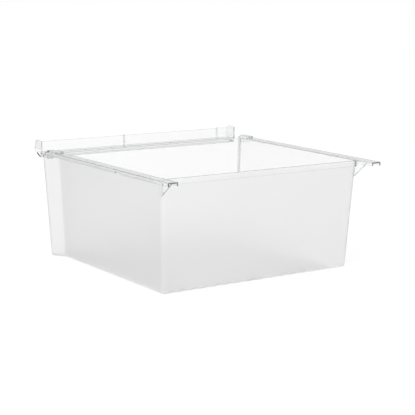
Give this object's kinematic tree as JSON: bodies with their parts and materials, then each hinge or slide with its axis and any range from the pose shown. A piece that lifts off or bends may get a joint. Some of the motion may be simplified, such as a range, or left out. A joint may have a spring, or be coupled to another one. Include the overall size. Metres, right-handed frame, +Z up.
{
  "type": "crisper drawer",
  "caption": "Clear moulded refrigerator crisper drawer with flared front, side runners, rear tails, corrugated floor and a clip-on front pull strip",
  "frame": {"origin": "the resting point in the middle of the floor, halfway between the front of the pull and the ends of the tails", "axes": "+Z up, +Y towards the back wall and the runner tails, -Y the front with the pull, +X the left side seen from behind"},
  "size_m": [0.4047, 0.416, 0.1951],
  "materials": {
    "clear_shell": "gloss",
    "clear_pull": "gloss"
  },
  "bodies": {
    "root": {"drawer_tub": "clear_shell", "front_pull": "clear_pull"}
  },
  "joints": []
}
